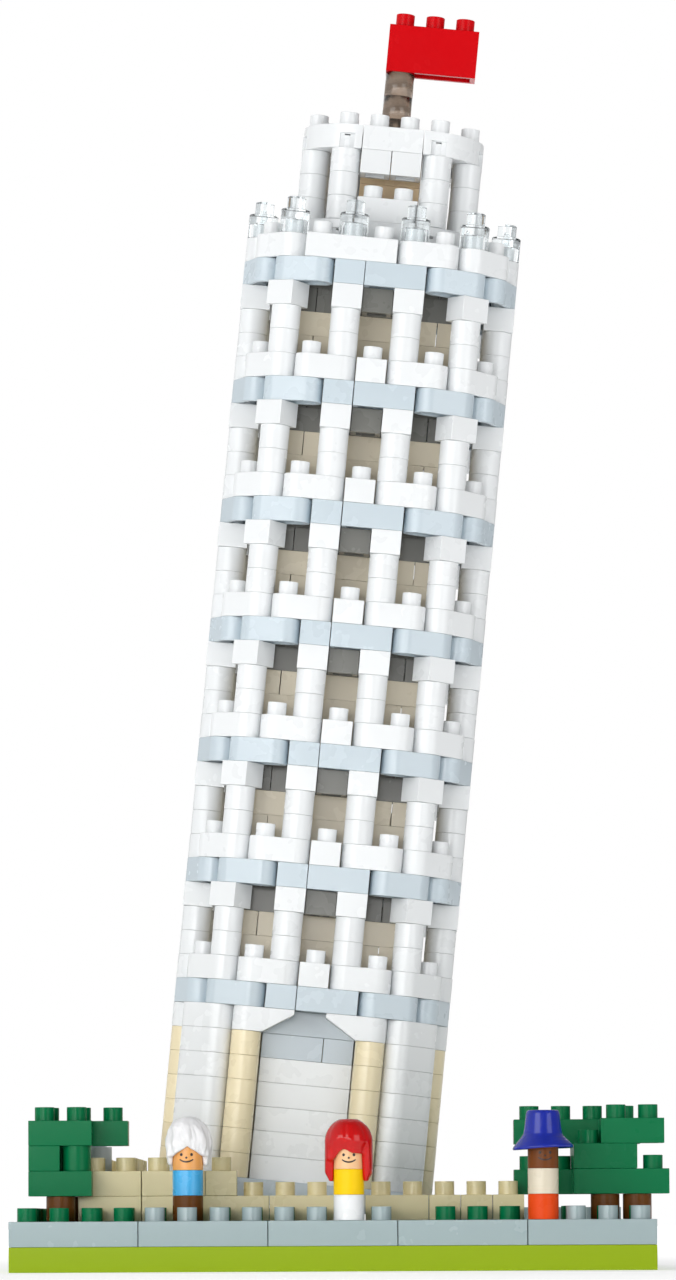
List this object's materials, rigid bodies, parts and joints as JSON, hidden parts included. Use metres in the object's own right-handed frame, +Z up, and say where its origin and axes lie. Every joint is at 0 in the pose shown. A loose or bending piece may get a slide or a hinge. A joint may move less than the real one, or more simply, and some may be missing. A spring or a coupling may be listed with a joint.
{
  "type": "brick-built tower model",
  "caption": "Leaning round bell tower of small stacking bricks on a square garden base, with trees, low walls, mini figures that turn, and a turning flag.",
  "frame": {"origin": "middle of the base's underside", "axes": "+X to the right, the way the tower leans; +Y to the back; +Z up"},
  "size_m": [0.0818, 0.0816, 0.1666],
  "materials": {
    "amber_tan": "moulded",
    "bark": "moulded",
    "border_gray": "moulded",
    "brown_head": "moulded",
    "clear": "polished",
    "cream": "moulded",
    "flag_red": "moulded",
    "grass": "moulded",
    "hair_red": "polished",
    "hat_blue": "polished",
    "leaf": "moulded",
    "light_skin_tan": "moulded",
    "lime": "moulded",
    "orange": "moulded",
    "peach": "moulded",
    "ring_gray": "moulded",
    "shadow_gray": "moulded",
    "sky_blue": "moulded",
    "smoke": "polished",
    "stone_gray": "moulded",
    "tan": "moulded",
    "white": "moulded",
    "yellow": "moulded"
  },
  "bodies": {
    "tower_and_garden": {"base_plate": "lime", "border": "border_gray", "lawn": "grass", "footing": "stone_gray", "riser": "stone_gray", "foundation": "stone_gray", "ground_columns": "tan", "ground_corners": "white", "door_panels": "white", "door_heads": "stone_gray", "arch_bricks": "white", "ground_core": "cream", "ring_1": "ring_gray", "ring_2": "ring_gray", "ring_3": "ring_gray", "ring_4": "ring_gray", "ring_5": "ring_gray", "ring_6": "ring_gray", "rail_1": "white", "rail_2": "white", "rail_3": "white", "rail_4": "white", "rail_5": "white", "rail_6": "white", "colonnade_1": "white", "colonnade_2": "white", "colonnade_3": "white", "colonnade_4": "white", "colonnade_5": "white", "colonnade_6": "white", "core_cream": "cream", "core_gray": "shadow_gray", "cornice_ring": "ring_gray", "parapet": "white", "pinnacles": "clear", "deck": "white", "belfry_sill": "white", "belfry_columns": "white", "belfry_walls": "white", "belfry_crown": "white", "belfry_pillar": "amber_tan", "flagpole": "smoke", "garden_wall": "tan", "corner_post": "stone_gray", "tree_trunks": "bark", "tree_left_leaves": "leaf", "tree_right_leaves": "leaf"},
    "flag": {"flag": "flag_red"},
    "walker": {"walker_legs": "bark", "walker_torso": "sky_blue"},
    "walker_head": {"walker_head": "light_skin_tan"},
    "walker_hair": {"walker_hair": "white"},
    "guide": {"guide_legs": "white", "guide_torso": "yellow"},
    "guide_head": {"guide_head": "peach"},
    "guide_hair": {"guide_hair": "hair_red"},
    "visitor": {"visitor_legs": "orange", "visitor_torso": "cream"},
    "visitor_head": {"visitor_head": "brown_head"},
    "visitor_hat": {"visitor_hat": "hat_blue"}
  },
  "joints": [
    {"name": "flag_turn", "type": "hinge", "parent": "tower_and_garden", "child": "flag", "pos_m": [0.00957, 0.008, 0.15854], "axis": [0.0985, 0, 0.9951], "continuous": true},
    {"name": "walker_turn", "type": "hinge", "parent": "tower_and_garden", "child": "walker", "pos_m": [-0.018, -0.034, 0.0063], "axis": [0, 0, 1], "continuous": true},
    {"name": "walker_head_turn", "type": "hinge", "parent": "walker", "child": "walker_head", "pos_m": [-0.018, -0.034, 0.0126], "axis": [0, 0, 1], "continuous": true},
    {"name": "walker_hair_turn", "type": "hinge", "parent": "walker_head", "child": "walker_hair", "pos_m": [-0.018, -0.034, 0.01575], "axis": [0, 0, 1], "continuous": true},
    {"name": "guide_turn", "type": "hinge", "parent": "tower_and_garden", "child": "guide", "pos_m": [0.002, -0.038, 0.0063], "axis": [0, 0, 1], "continuous": true},
    {"name": "guide_head_turn", "type": "hinge", "parent": "guide", "child": "guide_head", "pos_m": [0.002, -0.038, 0.0126], "axis": [0, 0, 1], "continuous": true},
    {"name": "guide_hair_turn", "type": "hinge", "parent": "guide_head", "child": "guide_hair", "pos_m": [0.002, -0.038, 0.01575], "axis": [0, 0, 1], "continuous": true},
    {"name": "visitor_turn", "type": "hinge", "parent": "tower_and_garden", "child": "visitor", "pos_m": [0.026, -0.038, 0.0063], "axis": [0, 0, 1], "continuous": true},
    {"name": "visitor_head_turn", "type": "hinge", "parent": "visitor", "child": "visitor_head", "pos_m": [0.026, -0.038, 0.0126], "axis": [0, 0, 1], "continuous": true},
    {"name": "visitor_hat_turn", "type": "hinge", "parent": "visitor_head", "child": "visitor_hat", "pos_m": [0.026, -0.038, 0.01575], "axis": [0, 0, 1], "continuous": true}
  ]
}
